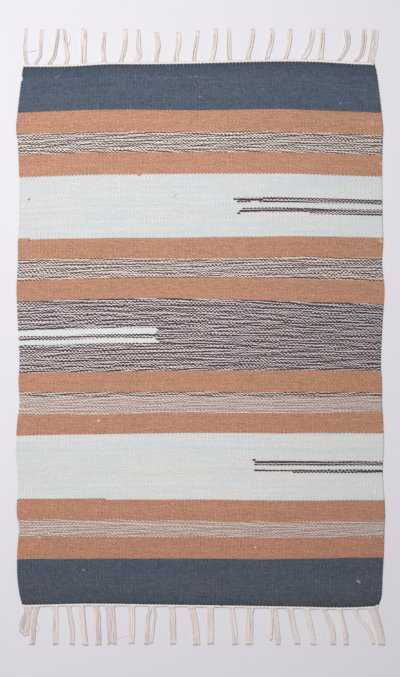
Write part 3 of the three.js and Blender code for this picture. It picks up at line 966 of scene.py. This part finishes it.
class Fringe:
    """One end's warps: they leave the cloth, run under the twined header and gather into strands."""

    def __init__(self, end, outline, strands, strays, sizes):
        self.end = end
        self.outline = outline
        self.strands = strands
        self.strays = strays
        self.lie = NEAR_LIE if end < 0 else FAR_LIE
        self.sizes = sizes
        self.rng = np.random.default_rng(sizes.seed + 10 + end)

    def edge(self, x):
        """Distance of the cloth's end from the rug's middle, at places x."""
        far, near = self.outline.ends(x)
        return far if self.end > 0 else -near

    def warps_of(self, strand):
        """Places across the rug of the warps that go into one strand: those nearest to its root."""
        roots = np.array([s.root for s in self.strands]) * MM
        left, right = self.outline.selvedges(self.end * WIDTH_AT)
        warps = left + (right - left) * share_across(np.arange(WARP_GAPS + 1))
        nearest = np.abs(warps[:, None] - roots).argmin(axis=1)
        return warps[nearest == self.strands.index(strand)]

    def strand_yarns(self, strand):
        """The warps of one strand, gathered in a few locks, from inside the cloth's edge to the cut tips."""
        rng = self.rng
        lie = self.lie
        index = self.strands.index(strand)
        tip = next(t for t in TIPS if t.end == self.end and t.strand in (index, None))
        warps = np.repeat(self.warps_of(strand), tip.plies)
        diameter = self.sizes.warp_yarn * (sqrt(lie.flatter) / tip.plies ** 0.25)
        root = strand.root * MM
        edge = float(self.edge(root))
        length = strand.reach * MM - edge
        width = strand.width * self.sizes.looseness * lie.flatter * MM
        locks = max(1, round(width / (tip.lock * MM)))
        pitch = width / locks
        filled = len(warps) / locks * diameter ** 2 / PACKING
        thick = min(max(filled / pitch, LEAST_THICK * diameter), MOST_THICK)
        leaving = strand.root + LEAVING * (strand.quarter - strand.root)
        line = np.array([strand.root, leaving, strand.quarter, strand.half, strand.tip]) + lie.shift
        outs = np.concatenate([np.linspace(-INSIDE, 8 * MM, 11), np.linspace(10.5 * MM, length, 17)])
        share = np.clip(outs / length, 0, 1)
        middle = curve_through(STRAND_SHARES, line * MM, share)
        spread = 1 + ROOT_SPREAD * np.clip(1 - share / ROOT_SHARE, 0, 1) + (tip.widening - 1) * share
        gather = 1 - ease((outs + 0.2 * MM) / GATHERED)
        droop = 1 - DROOP * ease((outs - length) / DROOPING + 1)
        tapered = 1 - lie.thinner * ease((outs - length) / FRAYED + 1)
        yarns = []
        for lock, members in enumerate(np.array_split(warps, locks)):
            lock_off = (lock - (locks - 1) / 2) * pitch + 0.35 * MM * wander(rng, len(outs), 6)
            twist = rng.uniform(-1, 1)
            for warp, step in zip(members, rng.permutation(len(members))):
                far_out = sqrt((step + 0.5) / len(members))
                turn = tip.twist * (twist * share + 0.12 * wander(rng, len(outs), 6))
                angle = step * GOLDEN_ANGLE + turn
                across = far_out * np.cos(angle)
                if lie.flat:
                    across = pressed_flat(across)
                off = (lock_off + across * (pitch - 0.4 * diameter) / 2) * spread
                off = off + 0.25 * MM * wander(rng, len(outs), 6) * (0.4 + share)
                x = middle + off + (warp - root - off) * gather
                cut = (1.6 * rng.random() + 5 * rng.random() ** 6 - 0.3) * MM + max(-tip.askew * off[-1], 0)
                reach = edge + (self.edge(x) - edge) * ease(1 - share * 6) + outs * (1 - cut / length)
                # Tone: soil drawn at random, lowered lock by lock to the right as painted shade on each
                # strand's side away from the light, and raised by the lie's tone lift
                tone = np.clip(rng.uniform(0.3, 1.1) - 0.4 * lock / locks + lie.clean, 0, 1)
                radius = diameter / 2 * rng.uniform(0.9, 1.06) * tapered
                rise = thick / 2 + far_out * np.sin(angle) * (thick - diameter) / 2
                z = np.maximum((rise + (WARP_HEIGHT - rise) * gather) * droop, radius)
                yarns.append(Yarn(np.column_stack([x, self.end * reach, z]), radius, tone))
        return yarns

    def header_yarns(self):
        """Two yarns twined about each other along the cloth's end, with a thin dark one outside them: a warp
        run along the header, whose dark colour is painted shade along the header's outer edge.
        """
        first, last = self.strands[0].root * MM, self.strands[-1].root * MM
        x = np.arange(first - HEADER_PAST, last + HEADER_PAST, 0.9 * MM)
        radius = self.sizes.header_yarn / 2
        yarns = []
        for phase in (0, pi):
            turn = x * 2 * pi / HEADER_PITCH + phase
            y = self.edge(x) + HEADER_OUT + HEADER_SWING * np.sin(turn)
            z = radius + HEADER_RISE * (1 + np.cos(turn))
            yarns.append(Yarn(np.column_stack([x, self.end * y, z]), radius, 0.9))
        # The thin yarn has the lowest tone: painted shade along the header's outer edge
        y = self.edge(x) + HEADER_OUT + radius + THIN_YARN + 0.3 * MM * wander(self.rng, len(x), 6)
        line = np.column_stack([x, self.end * y, np.full(len(x), THIN_HEIGHT)])
        return yarns + [Yarn(line, THIN_YARN, 0)]

    def stray_yarns(self):
        """Loose fibres, smoothed between their points."""
        yarns = []
        for points in self.strays:
            route = np.array(points) * MM
            marks = np.linspace(0, 1, len(route))
            steps = np.linspace(0, 1, 4 * len(route))
            path = np.column_stack([curve_through(marks, values, steps) for values in route.T])
            yarns.append(Yarn(path, STRAY_YARN, 0.2))
        return yarns

    def yarns(self):
        gathered = [yarn for strand in self.strands for yarn in self.strand_yarns(strand)]
        return gathered + self.header_yarns() + self.stray_yarns()


def spin_yarns(name, yarns):
    """One mesh of round yarns along their paths, with each yarn's run, round and tone in an attribute."""
    curve = bpy.data.curves.new(name, "CURVE")
    curve.dimensions = "3D"
    curve.bevel_depth = 1
    curve.bevel_resolution = 1
    curve.use_fill_caps = True
    for yarn in yarns:
        points = curve.splines.new("POLY").points
        ones = np.ones(len(yarn.path))
        points.add(len(ones) - 1)
        write(points, "co", np.column_stack([yarn.path, ones]))
        write(points, "radius", yarn.radius * ones)
    holder = add_piece(name, curve)
    mesh = bpy.data.meshes.new_from_object(holder)
    mesh.name = name
    bpy.data.objects.remove(holder)
    bpy.data.curves.remove(curve)
    record_yarns(mesh, yarns)
    weld(mesh, smooth_corners=4)
    return mesh


SIDES = 6  # round a yarn, as a bevel resolution of 1 makes it
CAP_FACES = 2 * (SIDES - 2)


def record_yarns(mesh, yarns):
    """Writes where each corner is along its yarn, in metres, where round it, and the yarn's tone."""
    faces = [CAP_FACES + SIDES * (len(yarn.path) - 1) for yarn in yarns]
    sides = read(mesh.polygons, "loop_total", np.int32)
    lengths = [np.linalg.norm(np.diff(yarn.path, axis=0), axis=1).sum() for yarn in yarns]
    length, tone = [
        np.repeat(np.repeat(values, faces), sides) for values in (lengths, [yarn.tone for yarn in yarns])
    ]
    uv = read(mesh.uv_layers[0].data, "uv", width=2)
    paint(mesh, "yarn", np.column_stack([uv[:, 0] * length, uv[:, 1], tone]))


# Operators

class KILIM_OT_weave_field(bpy.types.Operator):
    """Weave the banded cloth, bead by bead"""

    bl_idname = "kilim.weave_field"
    bl_label = "Weave the Cloth"

    def execute(self, context):
        scene = context.scene
        mesh = weave_cloth(scene.kilim_sizes, scene.kilim_colours)
        if len(mesh.polygons) > MOST_TRIANGLES:
            raise RuntimeError("the cloth has too many triangles")
        cloth = add_piece("woven_cloth", mesh)
        mesh.materials.append(weft_material())
        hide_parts("woven_field")
        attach(cloth, BODY)
        return {"FINISHED"}


class KILIM_OT_gather_fringes(bpy.types.Operator):
    """Gather the warps of both ends into their strands, under a twined header"""

    bl_idname = "kilim.gather_fringes"
    bl_label = "Gather the Fringes"

    def execute(self, context):
        scene = context.scene
        outline = Outline("woven_field")
        cotton = cotton_material(tuple(scene.kilim_colours.cotton))
        ends = (
            ("fringe_far", 1, FAR_STRANDS, FAR_STRAYS),
            ("fringe_near", -1, NEAR_STRANDS, NEAR_STRAYS),
        )
        for node, end, strands, strays in ends:
            fringe = Fringe(end, outline, strands, strays, scene.kilim_sizes)
            piece = add_piece(node + "_yarns", spin_yarns(node + "_yarns", fringe.yarns()))
            piece.data.materials.append(cotton)
            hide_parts(node)
            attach(piece, BODY)
        return {"FINISHED"}


class KILIM_OT_set_stage(bpy.types.Operator):
    """Set the floor, the soft light and the camera straight above"""

    bl_idname = "kilim.set_stage"
    bl_label = "Set the Studio"

    def execute(self, context):
        studio = context.scene.kilim_studio
        add_floor(tuple(studio.floor))
        add_lights(context.scene, studio)
        add_camera(context.scene, studio)
        context.scene.view_settings.view_transform = "Standard"
        return {"FINISHED"}


FLOOR_REACH = 40  # metres to each side
FLOOR_DROP = 0.05 * MM  # keeps the floor clear of the rug's underside
PHOTO_MIDDLE = (-0.7 * MM, -2.9 * MM)
SENSOR = 36


def add_floor(colour):
    bm = bmesh.new()
    bmesh.ops.create_grid(bm, x_segments=8, y_segments=8, size=FLOOR_REACH)
    bmesh.ops.translate(bm, verts=bm.verts[:], vec=(0, 0, -FLOOR_DROP))
    mesh = mesh_of(bm, "studio_floor")
    s = Shader("Studio floor", 0.9, 0.1)
    s.fill(s.surface, {"Base Color": (*colour, 1)})
    mesh.materials.append(s.material)
    add_piece("studio_floor", mesh)


def add_lights(scene, studio):
    key = bpy.data.lights.new("key_light", "AREA")
    key.shape = "DISK"
    key.size = 0.9
    key.energy = studio.key_power
    lamp = bpy.data.objects.new("key_light", key)
    lamp.location = (-0.6, 0.55, 2.1)
    lamp.visible_camera = False
    lamp.rotation_euler = (-lamp.location).to_track_quat("-Z", "Y").to_euler()
    scene.collection.objects.link(lamp)
    world = bpy.data.worlds.new("studio_world")
    world.use_nodes = True
    background = world.node_tree.nodes["Background"]
    background.inputs["Color"].default_value = (0.97, 0.975, 1.0, 1)
    background.inputs["Strength"].default_value = studio.fill
    scene.world = world


def add_camera(scene, studio):
    """Straight down over the photograph's middle, far enough that the rug shows no perspective."""
    lens = bpy.data.cameras.new("camera")
    lens.sensor_width = SENSOR
    lens.lens = SENSOR * studio.camera_height / studio.view_length
    camera = bpy.data.objects.new("camera", lens)
    camera.location = (*PHOTO_MIDDLE, studio.camera_height)
    scene.collection.objects.link(camera)
    scene.camera = camera


class KILIM_PT_rug(bpy.types.Panel):
    """Lists the steps that make the rug, and its sizes and colours"""

    bl_label = "Kilim Rug"
    bl_idname = "KILIM_PT_rug"
    bl_space_type = "VIEW_3D"
    bl_region_type = "UI"
    bl_category = "Kilim"

    def draw(self, context):
        column = self.layout.column()
        for operator in STEPS:
            column.operator(operator.bl_idname)
        for group in [getattr(context.scene, name) for name in GROUPS]:
            for name in group.bl_rna.properties.keys():
                if name not in {"rna_type", "name"}:
                    column.prop(group, name)


GROUPS = {"kilim_sizes": KilimSizes, "kilim_colours": KilimColours, "kilim_studio": KilimStudio}
STEPS = (KILIM_OT_weave_field, KILIM_OT_gather_fringes, KILIM_OT_set_stage)
CLASSES = (*GROUPS.values(), *STEPS, KILIM_PT_rug)


def register():
    for item in CLASSES:
        bpy.utils.register_class(item)
    for name, group in GROUPS.items():
        setattr(bpy.types.Scene, name, PointerProperty(type=group))


def unregister():
    for name in GROUPS:
        delattr(bpy.types.Scene, name)
    for item in reversed(CLASSES):
        bpy.utils.unregister_class(item)


def main():
    register()
    bpy.ops.kilim.weave_field()
    bpy.ops.kilim.gather_fringes()
    bpy.ops.kilim.set_stage()


if __name__ == "__main__":
    main()
